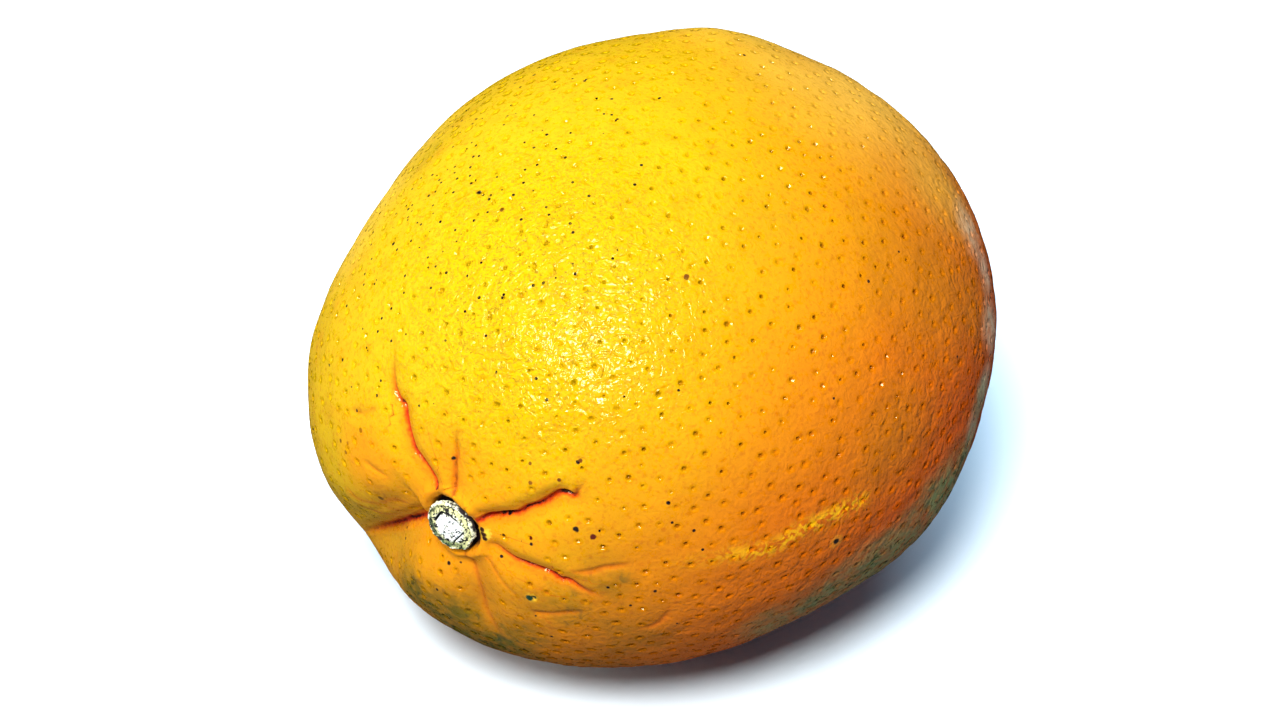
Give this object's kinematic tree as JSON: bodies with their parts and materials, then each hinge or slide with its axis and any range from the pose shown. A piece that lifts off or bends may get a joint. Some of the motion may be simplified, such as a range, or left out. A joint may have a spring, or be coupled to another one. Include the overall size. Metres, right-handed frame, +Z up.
{
  "type": "orange",
  "caption": "Whole orange lying on its side, with a pitted rind, creases round the stem end and a woody stem button in its dimple.",
  "frame": {"origin": "middle of the small flat spot that the fruit rests on", "axes": "+Z is up from the surface it rests on, -Y is towards the stem end along the fruit's long axis, and +X completes the right-handed frame"},
  "size_m": [0.077, 0.0857, 0.068],
  "materials": {
    "rind": "waxy yellow-orange rind, semi-gloss, with oil-gland pits, reddish creases and olive-green tints",
    "stem_wood": "dry pale green-grey calyx tissue with a dark rough rim, matte"
  },
  "bodies": {
    "root": {"fruit": "rind", "stem_button": "stem_wood"}
  },
  "joints": []
}
